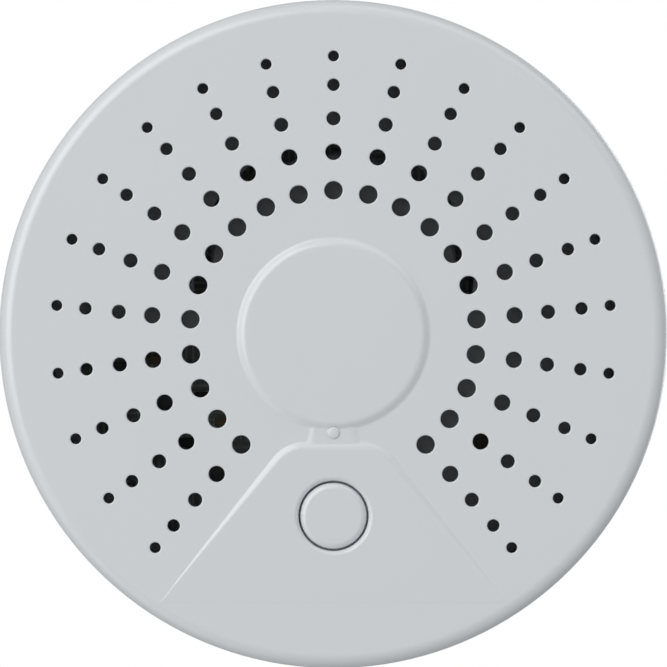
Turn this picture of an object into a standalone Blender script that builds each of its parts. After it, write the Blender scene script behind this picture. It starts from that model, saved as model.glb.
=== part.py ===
"""Wall-mounted smoke detector: mounting bracket, rear housing, front cover and everything between them.

The detector hangs on a wall. The origin is the centre of the bracket's back face, +Z is up, and the vented
face looks along -Y. Every piece is modelled lying on its back, with its front along +Z, under one empty that
stands the whole detector up.
"""

import math

import bmesh
import bpy
from mathutils import Matrix, Vector

MM = 0.001

# Fits
GAP = 0.3 * MM                 # between pieces that touch
RUNNING_GAP = 0.35 * MM        # round the button
BOARD_CLEARANCE = 0.4 * MM     # round the circuit board

# Whole detector
COVER_RADIUS = 53.5 * MM
FACE_HEIGHT = 34.0 * MM        # flat face above the wall
SEAM_HEIGHT = 13.0 * MM        # lower edge of the cover's skirt

# Front cover
COVER_WALL = 2.0 * MM
RIM_ROUNDING = 2.3 * MM
DISC_RADIUS = 13.3 * MM
DISC_RISE = 1.0 * MM
STEP_WIDTH = 2.4 * MM          # width of the disc's sloping edge
BOSS_RADIUS = 2.2 * MM
BOSS_ANGLES = (30, 150, 270)

# Vents
VENT_RAYS = 10                 # on each side of the upright ray
VENT_RAY_STEP = 14.014         # degrees
VENT_RING_SHARES = (0.0, 0.286, 0.536, 0.786, 1.0)
VENT_RADII = (1.475 * MM, 1.31 * MM, 1.125 * MM, 1.0 * MM, 0.875 * MM)
VENT_DISC_MARGIN = 9.68 * MM   # first ring from the disc
VENT_RIM_MARGIN = 6.76 * MM    # last ring from the rounded rim
VENT_SIDES = 10

# Wedge panel, neck and status light
WEDGE_HALF_ANGLE = 40.2        # degrees
WEDGE_APEX_DROP = 8.2 * MM     # where the foot lines of its straight sides would meet
WEDGE_TOP_DROP = 17.3 * MM     # foot of its upper edge
WEDGE_CORNER = 6.0 * MM
WEDGE_SLOPE_WIDTH = 1.4 * MM
WEDGE_RISE = 0.9 * MM          # at its upper edge
WEDGE_RIM_RISE = 0.3 * MM      # where it meets the rim
NECK_HALF_WIDTH = 3.9 * MM
NECK_SLOPE_WIDTH = 0.9 * MM
NECK_RISE = 0.4 * MM
LIGHT_DROP = 15.75 * MM
LIGHT_RADIUS = 1.0 * MM
LIGHT_PROUD = 0.4 * MM

# Test button and its switch
BUTTON_DROP = 29.05 * MM
BUTTON_RADIUS = 5.3 * MM
BUTTON_FLANGE = 1.1 * MM
BUTTON_FLANGE_THICKNESS = 0.8 * MM
BUTTON_STEM_RADIUS = 1.8 * MM
BUTTON_EDGE = 0.5 * MM
BUTTON_TRAVEL = 0.5 * MM
SWITCH_SIDE = 6.0 * MM
SWITCH_HEIGHT = 3.5 * MM
PLUNGER_RADIUS = 1.7 * MM
PLUNGER_PROUD = 1.9 * MM
PLUNGER_DEPTH = 1.8 * MM

# Rear housing
REAR_WALL = 2.0 * MM
REAR_EDGE = 2.6 * MM           # chamfer between its back and its side
TONGUE_WALL = 0.9 * MM
TONGUE_HEIGHT = 2.3 * MM
REAR_BOSS_WALL = 0.9 * MM

# Mounting bracket
BRACKET_THICKNESS = 3.0 * MM
BRACKET_RADIUS = 45.0 * MM
BRACKET_BORE = 33.5 * MM
HOOK_ANGLES = (30, 150, 270)
HOOK_HALF_WIDTH = 6.0          # degrees
HOOK_INSET = 4.5 * MM          # from the bracket's bore
HOOK_POST = 2.0 * MM
HOOK_LIP = 2.5 * MM
HOOK_LIP_THICKNESS = 1.4 * MM
TWIST = 18.0                   # degrees between locked and free
TWIST_MARGIN = 0.8             # degrees
SLOT_ANGLES = (45, 135, 225, 315)
SLOT_WIDTH = 4.5 * MM
SLOT_LENGTH = 10.0 * MM
SLOT_RECESS = 2.0 * MM
SLOT_RECESS_DEPTH = 1.2 * MM

# Battery compartment
CELL_RADIUS = 5.25 * MM
CELL_LENGTH = 44.5 * MM
CELL_SPACE = 1.0 * MM          # between the two cells
NUB_RADIUS = 1.9 * MM
NUB_LENGTH = 0.8 * MM
COMPARTMENT_WALL = 1.2 * MM
CONTACT_SIDE = 8.0 * MM
CONTACT_THICKNESS = 0.4 * MM
SPRING_LENGTH = 6.0 * MM
SPRING_WIRE = 0.35 * MM
SPRING_TURNS = 3
DOOR_THICKNESS = 1.6 * MM
DOOR_MARGIN = 1.9 * MM         # door beyond the compartment's opening
DOOR_SWING = 0.75 * MM         # between the door's edge and the hinge lugs, so that it can swing
LEDGE_THICKNESS = 1.3 * MM
HINGE_RADIUS = 1.5 * MM
HINGE_PIN_RADIUS = 0.6 * MM
HINGE_LUG = 2.4 * MM
NOTCH_WIDTH = 10.0 * MM
NOTCH_REACH = 3.0 * MM
NOTCH_DEPTH = 1.3 * MM

# Circuit board
BOARD_THICKNESS = 1.6 * MM
BOARD_LIFT = 0.6 * MM          # above the compartment
POST_RADIUS = 2.6 * MM
POST_CIRCLE = 33.0 * MM
POST_ANGLES = (0, 90, 180, 255)
BOARD_SCREW_ANGLES = (90, 180, 255)

# Screws
SCREW_RADIUS = 1.1 * MM
SCREW_HEAD = 2.1 * MM
SCREW_HEAD_HEIGHT = 1.5 * MM
SCREW_GRIP = 7.0 * MM          # length held by the cover's boss
BOARD_SCREW_RADIUS = 0.8 * MM
BOARD_SCREW_HEAD = 1.9 * MM
BOARD_SCREW_HEAD_HEIGHT = 1.2 * MM
BOARD_SCREW_GRIP = 7.0 * MM

# Light baffle behind the vents
PLENUM = 2.0 * MM              # between the cover and the baffle
BAFFLE_THICKNESS = 1.2 * MM
BAFFLE_LEG_RADIUS = 1.5 * MM
BAFFLE_LEG_CIRCLE = 40.0 * MM
BAFFLE_LEG_ANGLES = (40, 160, 285)
BAFFLE_WINDOW_START = 184      # degrees, the window over the board's lower left
BAFFLE_WINDOW_SWEEP = 50
BAFFLE_WINDOW_INNER = 20.0 * MM
BAFFLE_WINDOW_OUTER = 43.0 * MM
AIR_GAP = 2.5 * MM             # round the chamber's lid

# Smoke chamber
CHAMBER_RADIUS = 20.0 * MM
CHAMBER_LIFT = 9.0 * MM        # above the detector's centre
CHAMBER_FLOOR = 1.5 * MM
LID_THICKNESS = 1.3 * MM
SCREEN_RADIUS = 19.3 * MM
SCREEN_WALL = 0.3 * MM
VANES = 18
VANE_LENGTH = 5.2 * MM
VANE_WIDTH = 0.9 * MM
VANE_CIRCLE = 15.4 * MM
VANE_TURN = 38                 # degrees from the radius
SENSOR_RADIUS = 1.5 * MM
SENSOR_LENGTH = 6.5 * MM
SENSOR_REACH = 4.2 * MM        # sensor's nose from the chamber's centre

# Siren
SIREN_RADIUS = 13.5 * MM
SIREN_HEADROOM = 1.2 * MM      # below the baffle
SIREN_WALL = 1.1 * MM
SIREN_PORT = 3.0 * MM
SIREN_ANGLE = -38.4            # degrees
SIREN_EDGE_MARGIN = 1.1 * MM
PIEZO_THICKNESS = 0.5 * MM
PIEZO_LIFT = 0.7 * MM

# Pieces on the board: name, centre, size; centres are from the detector's axis
MODULE_CENTRE = (30.5 * MM, 8.0 * MM)
MODULE_SIZE = (17.0 * MM, 24.0 * MM, 0.8 * MM)
CAN_SIZE = (15.0 * MM, 17.0 * MM, 2.2 * MM)
CAN_SHIFT = -2.5 * MM
CONTROLLER_CENTRE = (-30.0 * MM, 8.0 * MM)
CONTROLLER_SIZE = (8.0 * MM, 8.0 * MM, 1.2 * MM)
LED_SIZE = (2.0 * MM, 1.25 * MM, 0.8 * MM)
INDUCTOR_CENTRE = (-27.5 * MM, -11.2 * MM)
INDUCTOR_SIZE = (5.0 * MM, 5.0 * MM, 2.6 * MM)
CRYSTAL_CENTRE = (-34.4 * MM, -6.2 * MM)
CRYSTAL_SIZE = (5.0 * MM, 3.2 * MM, 1.0 * MM)
CAPACITOR_CAN_CENTRE = (-18.0 * MM, -22.6 * MM)
CAPACITOR_CAN_RADIUS = 2.6 * MM
CAPACITOR_CAN_HEIGHT = 5.4 * MM
RESISTOR_SIZE = (3.2 * MM, 1.6 * MM, 0.6 * MM)
RESISTOR_CENTRES = (
    (-22.6 * MM, -5.6 * MM),
    (-21.0 * MM, -10.2 * MM),
    (-24.2 * MM, -17.6 * MM),
    (-32.6 * MM, -15.4 * MM),
)
CAPACITOR_SIZE = (2.0 * MM, 1.25 * MM, 1.0 * MM)
CAPACITOR_CENTRES = (
    (-18.2 * MM, -14.2 * MM),
    (-28.9 * MM, -19.6 * MM),
    (-29.0 * MM, -4.2 * MM),
)

# Roundness
BIG_SIDES = 60
MIDDLE_SIDES = 32
SMALL_SIDES = 16
TINY_SIDES = 12

# Heights that follow from the sizes above
rear_back = BRACKET_THICKNESS + GAP
floor_top = rear_back + REAR_WALL
cell_axis = rear_back + DOOR_THICKNESS + GAP + GAP + CELL_RADIUS
compartment_top = cell_axis + CELL_RADIUS + GAP
board_bottom = compartment_top + COMPARTMENT_WALL + BOARD_LIFT
board_top = board_bottom + BOARD_THICKNESS
part_floor = board_top + GAP
cover_inside = FACE_HEIGHT - COVER_WALL
baffle_top = cover_inside - PLENUM
baffle_bottom = baffle_top - BAFFLE_THICKNESS
wedge_length = COVER_RADIUS - RIM_ROUNDING - WEDGE_TOP_DROP
button_share = (BUTTON_DROP - WEDGE_TOP_DROP) / wedge_length
siren_height = baffle_bottom - part_floor - SIREN_HEADROOM
button_top = FACE_HEIGHT + WEDGE_RISE + (WEDGE_RIM_RISE - WEDGE_RISE) * button_share
hook_top = floor_top + GAP + HOOK_LIP_THICKNESS

# Radii that follow from the sizes above
cover_bore = COVER_RADIUS - COVER_WALL
tongue_outer = cover_bore - GAP
tongue_inner = tongue_outer - TONGUE_WALL
boss_circle = tongue_inner - GAP - BOSS_RADIUS
board_radius = boss_circle - BOSS_RADIUS - BOARD_CLEARANCE
hook_inner = BRACKET_BORE + HOOK_INSET
hook_outer = hook_inner + HOOK_POST
lip_outer = hook_outer + HOOK_LIP

# Battery compartment's inside, and the door over it
cell_pitch = 2 * CELL_RADIUS + CELL_SPACE
compartment_half_x = cell_pitch / 2 + CELL_RADIUS + 2 * GAP
compartment_half_y = (CELL_LENGTH + SPRING_LENGTH + CONTACT_THICKNESS + 4 * GAP) / 2
door_half_y = compartment_half_y + DOOR_MARGIN / 2
door_right = compartment_half_x + DOOR_MARGIN
hinge_x = -compartment_half_x - GAP - HINGE_RADIUS - GAP - DOOR_MARGIN + GAP
hinge_z = rear_back + HINGE_RADIUS
hinge_half_y = door_half_y - HINGE_LUG


def clear_scene():
    for item in list(bpy.data.objects):
        bpy.data.objects.remove(item, do_unlink=True)


def new_collection(name):
    found = bpy.data.collections.new(name)
    bpy.context.scene.collection.children.link(found)
    return found


def new_material(name, colour, roughness, metallic=0.0):
    made = bpy.data.materials.new(name)
    made.use_nodes = True
    shader = made.node_tree.nodes["Principled BSDF"]
    shader.inputs["Base Color"].default_value = (*colour, 1.0)
    shader.inputs["Roughness"].default_value = roughness
    shader.inputs["Metallic"].default_value = metallic
    return made


clear_scene()
pieces = new_collection("smoke_detector")
cutters = new_collection("cutters")
stand = bpy.data.objects.new("stand", None)
pieces.objects.link(stand)
stand.rotation_euler = (math.radians(90), 0, 0)

white_plastic = (0.80, 0.81, 0.82)
black_plastic = (0.012, 0.013, 0.014)


def polar(radius, degrees, z=0.0):
    turn = math.radians(degrees)
    return (radius * math.cos(turn), radius * math.sin(turn), z)


def add_piece(name, mesh, place=(0, 0, 0), turn=(0, 0, 0), material=None):
    """A named solid of the detector. With no material it is a cutter."""
    made = bpy.data.objects.new(name, mesh)
    made.location = place
    made.rotation_euler = turn
    made.parent = stand
    if material:
        pieces.objects.link(made)
        mesh.materials.append(material)
    else:
        cutters.objects.link(made)
        made.hide_render = True
        made.display_type = "WIRE"
    return made


def mesh_from(bm, name, smooth=True):
    bmesh.ops.recalc_face_normals(bm, faces=bm.faces)
    mesh = bpy.data.meshes.new(name)
    bm.to_mesh(mesh)
    bm.free()
    if smooth:
        mesh.shade_smooth()
        mesh.set_sharp_from_angle(angle=math.radians(35))
    return mesh


def turned(name, profile, sides, place=(0, 0, 0), turn=(0, 0, 0), material=None, closed=False):
    """A solid of revolution. The profile runs down its outer side; a closed one comes back up its bore."""
    mesh = bpy.data.meshes.new(name)
    corners = [(radius, 0, height) for radius, height in profile]
    edges = [(i, i + 1) for i in range(len(corners) - 1)]
    if closed:
        edges.append((len(corners) - 1, 0))
    mesh.from_pydata(corners, edges, [])
    made = add_piece(name, mesh, place, turn, material)
    screw = made.modifiers.new("turn", "SCREW")
    screw.steps = sides
    screw.render_steps = sides
    screw.use_merge_vertices = True
    screw.merge_threshold = 0.00001
    screw.use_smooth_shade = True
    return made


def rod(name, radius, low, high, place=(0, 0, 0), sides=TINY_SIDES, turn=(0, 0, 0), material=None):
    """A round bar from low to high along its own Z."""
    bm = bmesh.new()
    bmesh.ops.create_cone(
        bm, cap_ends=True, segments=sides, radius1=radius, radius2=radius, depth=high - low,
        matrix=Matrix.Translation((0, 0, (low + high) / 2)),
    )
    return add_piece(name, mesh_from(bm, name), place, turn, material)


def rods(name, radius, low, high, places, sides=TINY_SIDES):
    """Several bars in one cutter."""
    bm = bmesh.new()
    for x, y in places:
        bmesh.ops.create_cone(
            bm, cap_ends=True, segments=sides, radius1=radius, radius2=radius, depth=high - low,
            matrix=Matrix.Translation((x, y, (low + high) / 2)),
        )
    return add_piece(name, mesh_from(bm, name))


def block(name, low, high, place=(0, 0, 0), turn=(0, 0, 0), material=None, edge=0.0):
    """A box between two corners."""
    size = Vector(high) - Vector(low)
    middle = (Vector(high) + Vector(low)) / 2
    bm = bmesh.new()
    bmesh.ops.create_cube(bm, size=1.0, matrix=Matrix.Translation(middle) @ Matrix.Diagonal((*size, 1.0)))
    made = add_piece(name, mesh_from(bm, name, smooth=False), place, turn, material)
    if edge:
        bevel = made.modifiers.new("edges", "BEVEL")
        bevel.width = edge
        bevel.segments = 1
    return made


def arc_block(name, profile, start, sweep, steps, material=None):
    """A closed section, radius and height, swept round the detector's axis by some degrees."""
    bm = bmesh.new()
    corners = [bm.verts.new(polar(radius, start, height)) for radius, height in profile]
    edges = [bm.edges.new((corners[i - 1], corners[i])) for i in range(len(corners))]
    bmesh.ops.spin(
        bm, geom=corners + edges, cent=(0, 0, 0), axis=(0, 0, 1), angle=math.radians(sweep), steps=steps,
        use_duplicate=False,
    )
    ends = [edge for edge in bm.edges if edge.is_boundary]
    bmesh.ops.holes_fill(bm, edges=ends, sides=0)
    return add_piece(name, mesh_from(bm, name), material=material)


def raised_panel(name, outline, foot, rise, slope_width, fall=0.0):
    """A panel with sloping sides, sunk a little into what it stands on. Its top may fall towards -Y."""
    bm = bmesh.new()
    base = bm.faces.new([bm.verts.new((x, y, foot)) for x, y in outline])
    base.normal_update()
    if base.normal.z < 0:
        base.normal_flip()
    sides = bmesh.ops.extrude_face_region(bm, geom=[base])["geom"]
    top = [item for item in sides if isinstance(item, bmesh.types.BMFace)]
    raised = [item for item in sides if isinstance(item, bmesh.types.BMVert)]
    bmesh.ops.translate(bm, verts=raised, vec=(0, 0, COVER_WALL / 2))
    bmesh.ops.inset_region(bm, faces=top, thickness=slope_width, depth=rise, use_even_offset=True)
    top_y = max(vert.co.y for vert in top[0].verts)
    low_y = min(vert.co.y for vert in top[0].verts)
    for vert in top[0].verts:
        vert.co.z -= fall * (top_y - vert.co.y) / (top_y - low_y)
    bmesh.ops.holes_fill(bm, edges=[edge for edge in bm.edges if edge.is_boundary], sides=0)
    return add_piece(name, mesh_from(bm, name, smooth=False))


def boolean(target, tool, operation):
    cut = target.modifiers.new(tool.name, "BOOLEAN")
    cut.object = tool
    cut.operation = operation
    cut.solver = "EXACT"


def cut_away(target, *tools):
    for tool in tools:
        boolean(target, tool, "DIFFERENCE")


def join_on(target, *tools):
    for tool in tools:
        boolean(target, tool, "UNION")


def rounded_corner(x, y, radius, start, sweep, steps):
    """Points along an arc, in degrees."""
    return [
        (x + radius * math.cos(math.radians(start + sweep * i / steps)),
         y + radius * math.sin(math.radians(start + sweep * i / steps)))
        for i in range(steps + 1)
    ]


# ---------------------------------------------------------------- front cover


def vent_places():
    """(radius, x, y) of every vent."""
    inner = DISC_RADIUS + VENT_DISC_MARGIN
    outer = COVER_RADIUS - RIM_ROUNDING - VENT_RIM_MARGIN
    found = []
    for ray in range(-VENT_RAYS, VENT_RAYS + 1):
        for share, radius in zip(VENT_RING_SHARES, VENT_RADII):
            x, y, _ = polar(inner + share * (outer - inner), 90 - ray * VENT_RAY_STEP)
            found.append((radius, x, y))
    return found


def vent_cutter():
    bm = bmesh.new()
    for radius, x, y in vent_places():
        bmesh.ops.create_cone(
            bm, cap_ends=True, segments=VENT_SIDES, radius1=radius, radius2=radius, depth=2 * COVER_WALL,
            matrix=Matrix.Translation((x, y, FACE_HEIGHT - COVER_WALL / 2)),
        )
    return add_piece("vent_cutter", mesh_from(bm, "vent_cutter"))


def wedge_outline():
    """Foot of the wedge panel: level top edge, rounded corners, straight sides, and an arc inside the rim."""
    half = math.radians(WEDGE_HALF_ANGLE)
    reach = COVER_RADIUS - RIM_ROUNDING
    # Centre of the rounded corner, which touches the top edge and the right side.
    corner_y = -WEDGE_TOP_DROP - WEDGE_CORNER
    corner_x = (-WEDGE_APEX_DROP - corner_y) * math.tan(half) - WEDGE_CORNER / math.cos(half)
    corner = rounded_corner(corner_x, corner_y, WEDGE_CORNER, 90, -(90 - WEDGE_HALF_ANGLE), 4)
    # Where the side's line meets the arc of the rim.
    offset = WEDGE_APEX_DROP * math.sin(half)
    end = 270 + WEDGE_HALF_ANGLE - math.degrees(math.asin(offset / reach))
    arc = rounded_corner(0, 0, reach, end, 2 * (270 - end), 14)
    left = [(-x, y) for x, y in reversed(corner)]
    return corner + arc + left


def front_cover():
    plastic = new_material("cover_plastic", white_plastic, 0.5)
    inner = cover_bore
    rim_z = FACE_HEIGHT - RIM_ROUNDING
    rim_r = COVER_RADIUS - RIM_ROUNDING
    foot = DISC_RADIUS + STEP_WIDTH
    profile = [
        (0, FACE_HEIGHT + DISC_RISE),
        (DISC_RADIUS, FACE_HEIGHT + DISC_RISE),
        (DISC_RADIUS + STEP_WIDTH * 0.25, FACE_HEIGHT + DISC_RISE * 0.9),
        (DISC_RADIUS + STEP_WIDTH * 0.75, FACE_HEIGHT + DISC_RISE * 0.1),
        (foot, FACE_HEIGHT),
    ]
    profile += rounded_corner(rim_r, rim_z, RIM_ROUNDING, 90, -90, 4)
    profile += [
        (COVER_RADIUS, SEAM_HEIGHT),
        (inner, SEAM_HEIGHT),
        (inner, cover_inside),
        (0, cover_inside),
    ]
    cover = turned("front_cover", profile, BIG_SIDES, material=plastic)
    sunk = FACE_HEIGHT - COVER_WALL / 2
    wedge = raised_panel(
        "wedge_panel", wedge_outline(), sunk, WEDGE_RISE, WEDGE_SLOPE_WIDTH, WEDGE_RISE - WEDGE_RIM_RISE)
    neck_top = -DISC_RADIUS
    neck_foot = -WEDGE_TOP_DROP - WEDGE_SLOPE_WIDTH
    neck = raised_panel(
        "neck", [(-NECK_HALF_WIDTH, neck_foot), (NECK_HALF_WIDTH, neck_foot), (NECK_HALF_WIDTH, neck_top),
                 (-NECK_HALF_WIDTH, neck_top)],
        sunk, NECK_RISE, NECK_SLOPE_WIDTH)
    join_on(cover, wedge, neck)
    for number, angle in enumerate(BOSS_ANGLES, 1):
        x, y, _ = polar(boss_circle, angle)
        boss = rod(f"cover_boss_{number}", BOSS_RADIUS, SEAM_HEIGHT - GAP, sunk, (x, y, 0), SMALL_SIDES)
        join_on(cover, boss)
    pilots = rods(
        "cover_pilots", SCREW_RADIUS + GAP, SEAM_HEIGHT - COVER_WALL, SEAM_HEIGHT + SCREW_GRIP + GAP,
        [polar(boss_circle, angle)[:2] for angle in BOSS_ANGLES])
    button_hole = rod(
        "button_hole", BUTTON_RADIUS + RUNNING_GAP, cover_inside - COVER_WALL, button_top + COVER_WALL,
        (0, -BUTTON_DROP, 0), MIDDLE_SIDES)
    light_hole = rod(
        "light_hole", LIGHT_RADIUS + GAP, cover_inside - COVER_WALL, button_top + COVER_WALL,
        (0, -LIGHT_DROP, 0), SMALL_SIDES)
    cut_away(cover, vent_cutter(), pilots, button_hole, light_hole)


# ---------------------------------------------------------------- button, switch and status light


def test_button():
    plastic = new_material("button_plastic", white_plastic, 0.5)
    flange_top = cover_inside - GAP - button_top
    flange_bottom = flange_top - BUTTON_FLANGE_THICKNESS
    plunger_top = part_floor + SWITCH_HEIGHT + PLUNGER_PROUD
    stem_end = plunger_top + GAP - button_top
    flange_radius = BUTTON_RADIUS + RUNNING_GAP + BUTTON_FLANGE
    profile = [
        (0, 0),
        (BUTTON_RADIUS - BUTTON_EDGE, 0),
        (BUTTON_RADIUS - BUTTON_EDGE * 0.3, -BUTTON_EDGE * 0.3),
        (BUTTON_RADIUS, -BUTTON_EDGE),
        (BUTTON_RADIUS, flange_top),
        (flange_radius, flange_top),
        (flange_radius, flange_bottom),
        (BUTTON_STEM_RADIUS, flange_bottom),
        (BUTTON_STEM_RADIUS, stem_end),
        (0, stem_end),
    ]
    turned("test_button", profile, MIDDLE_SIDES, (0, -BUTTON_DROP, button_top), material=plastic)


def push_switch():
    housing = new_material("switch_plastic", (0.02, 0.02, 0.02), 0.45)
    tip = new_material("plunger_plastic", (0.75, 0.72, 0.66), 0.5)
    half = SWITCH_SIDE / 2
    place = (0, -BUTTON_DROP, part_floor)
    body = block("switch_body", (-half, -half, 0), (half, half, SWITCH_HEIGHT), place, material=housing)
    well_floor = SWITCH_HEIGHT - PLUNGER_DEPTH - BUTTON_TRAVEL - GAP
    well = rod("switch_well", PLUNGER_RADIUS + GAP, well_floor, SWITCH_HEIGHT * 2, place, SMALL_SIDES)
    cut_away(body, well)
    rod("switch_plunger", PLUNGER_RADIUS, -PLUNGER_DEPTH, PLUNGER_PROUD,
        (0, -BUTTON_DROP, part_floor + SWITCH_HEIGHT), SMALL_SIDES, material=tip)


def status_light():
    clear = new_material("light_pipe_plastic", (0.86, 0.87, 0.88), 0.25)
    led = new_material("led_package", (0.85, 0.82, 0.6), 0.4)
    neck_top = FACE_HEIGHT + NECK_RISE
    pipe_end = part_floor + LED_SIZE[2] + GAP
    profile = [
        (0, neck_top + LIGHT_PROUD),
        (LIGHT_RADIUS * 0.5, neck_top + LIGHT_PROUD * 0.85),
        (LIGHT_RADIUS * 0.87, neck_top + LIGHT_PROUD * 0.45),
        (LIGHT_RADIUS, neck_top),
        (LIGHT_RADIUS, pipe_end),
        (0, pipe_end),
    ]
    turned("light_pipe", profile, SMALL_SIDES, (0, -LIGHT_DROP, 0), material=clear)
    chip("status_led", (0, -LIGHT_DROP), LED_SIZE, led)


# ---------------------------------------------------------------- rear housing and battery


def rear_housing():
    plastic = new_material("rear_plastic", (0.79, 0.80, 0.81), 0.55)
    side_top = SEAM_HEIGHT - GAP
    edge_r = COVER_RADIUS - REAR_EDGE
    wall_r = COVER_RADIUS - GAP
    profile = [
        (0, floor_top),
        (edge_r - REAR_WALL * 0.8, floor_top),
        (tongue_inner, rear_back + REAR_EDGE + REAR_WALL),
        (tongue_inner, side_top + TONGUE_HEIGHT),
        (tongue_outer, side_top + TONGUE_HEIGHT),
        (tongue_outer, side_top),
        (wall_r, side_top),
        (wall_r, rear_back + REAR_EDGE * 1.4),
        (edge_r + REAR_EDGE * 0.62, rear_back + REAR_EDGE * 0.55),
        (edge_r, rear_back),
        (0, rear_back),
    ]
    # Across the inside, up to the tongue, and down the outer side.
    housing = turned("rear_housing", profile, BIG_SIDES, material=plastic)

    wall = COMPARTMENT_WALL
    sides_x = compartment_half_x + wall
    sides_y = compartment_half_y + wall
    groove_left = hinge_x - HINGE_RADIUS - GAP
    ledge_top = hinge_z + HINGE_RADIUS + GAP + LEDGE_THICKNESS
    middle = (rear_back + floor_top) / 2
    tower = block(
        "compartment_tower", (-sides_x, -sides_y, middle), (sides_x, sides_y, compartment_top + wall))
    ledge = block(
        "door_ledge", (groove_left - wall, -door_half_y - GAP - wall, middle),
        (door_right + GAP + wall, door_half_y + GAP + wall, ledge_top))
    join_on(housing, ledge, tower)
    boss_low = middle + REAR_WALL / 4
    boss_top = SEAM_HEIGHT - 2 * GAP
    head_seat = rear_back + GAP + SCREW_HEAD_HEIGHT + GAP
    head_bore = SCREW_HEAD + GAP + GAP / 3
    for number, angle in enumerate(BOSS_ANGLES, 1):
        x, y, _ = polar(boss_circle, angle)
        boss_outer = head_bore + REAR_BOSS_WALL
        boss = rod(f"rear_boss_{number}", boss_outer, boss_low, boss_top, (x, y, 0), SMALL_SIDES)
        join_on(housing, boss)
    for number, angle in enumerate(POST_ANGLES, 1):
        x, y, _ = polar(POST_CIRCLE, angle)
        post = rod(f"board_post_{number}", POST_RADIUS, middle, board_bottom - GAP, (x, y, 0), SMALL_SIDES)
        join_on(housing, post)

    below = rear_back - REAR_WALL
    cavity = block(
        "compartment_cavity", (-compartment_half_x, -compartment_half_y, below),
        (compartment_half_x, compartment_half_y, compartment_top))
    recess = block(
        "door_recess", (hinge_x + HINGE_RADIUS, -door_half_y - GAP, below),
        (door_right + GAP, door_half_y + GAP, rear_back + DOOR_THICKNESS + GAP))
    groove = block(
        "hinge_groove", (groove_left, -hinge_half_y - GAP, below),
        (hinge_x + HINGE_RADIUS + GAP, hinge_half_y + GAP, hinge_z + HINGE_RADIUS + GAP))
    pin_reach = door_half_y + GAP
    pin_hole = rod(
        "hinge_pin_hole", HINGE_PIN_RADIUS + GAP, -pin_reach, pin_reach, (hinge_x, 0, hinge_z),
        turn=(math.radians(90), 0, 0))
    notch = block(
        "finger_notch", (door_right, -NOTCH_WIDTH / 2, below),
        (door_right + NOTCH_REACH, NOTCH_WIDTH / 2, rear_back + NOTCH_DEPTH))
    bosses = [polar(boss_circle, angle)[:2] for angle in BOSS_ANGLES]
    head_wells = rods("head_wells", head_bore, below, head_seat, bosses, SMALL_SIDES)
    shank_holes = rods("shank_holes", SCREW_RADIUS + GAP, below, boss_top + REAR_WALL, bosses)
    pilots = rods(
        "board_pilots", BOARD_SCREW_RADIUS + GAP, board_bottom - BOARD_SCREW_GRIP - GAP, board_bottom + GAP,
        [polar(POST_CIRCLE, a)[:2] for a in BOARD_SCREW_ANGLES])
    cut_away(housing, cavity, recess, groove, pin_hole, notch, head_wells, shank_holes, pilots)

    lip_reach = HOOK_HALF_WIDTH + TWIST_MARGIN
    for number, angle in enumerate(HOOK_ANGLES, 1):
        narrow = arc_block(
            f"bayonet_slot_{number}",
            [(hook_inner - GAP, below), (hook_outer + GAP, below), (hook_outer + GAP, floor_top + REAR_WALL),
             (hook_inner - GAP, floor_top + REAR_WALL)],
            angle - lip_reach - TWIST, 2 * lip_reach + TWIST, 10)
        wide = arc_block(
            f"bayonet_mouth_{number}",
            [(hook_outer, below), (lip_outer + GAP, below), (lip_outer + GAP, floor_top + REAR_WALL),
             (hook_outer, floor_top + REAR_WALL)],
            angle - lip_reach - TWIST, 2 * lip_reach, 4)
        cut_away(housing, narrow, wide)


def battery_door():
    plastic = new_material("door_plastic", (0.79, 0.80, 0.81), 0.55)
    left = hinge_x + HINGE_RADIUS + GAP + DOOR_SWING
    back = rear_back - hinge_z
    axis = (hinge_x, 0, hinge_z)
    door = block(
        "battery_door", (left - hinge_x, -door_half_y, back),
        (door_right - hinge_x, door_half_y, back + DOOR_THICKNESS), axis, material=plastic)
    along = (math.radians(90), 0, 0)
    barrel = rod("door_barrel", HINGE_RADIUS, -hinge_half_y, hinge_half_y, axis, SMALL_SIDES, along)
    bridge = block(
        "door_bridge", (HINGE_PIN_RADIUS + GAP, -hinge_half_y, back + GAP / 10),
        (left - hinge_x + GAP, hinge_half_y, back + DOOR_THICKNESS - GAP / 10), axis)
    bore = rod("door_bore", HINGE_PIN_RADIUS + GAP, -door_half_y, door_half_y, axis, TINY_SIDES, along)
    join_on(door, bridge, barrel)
    cut_away(door, bore)


def hinge_pin():
    steel = new_material("pin_steel", (0.55, 0.55, 0.56), 0.3, 1.0)
    rod("hinge_pin", HINGE_PIN_RADIUS, -door_half_y, door_half_y, (hinge_x, 0, hinge_z), TINY_SIDES,
        (math.radians(90), 0, 0), steel)


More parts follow.
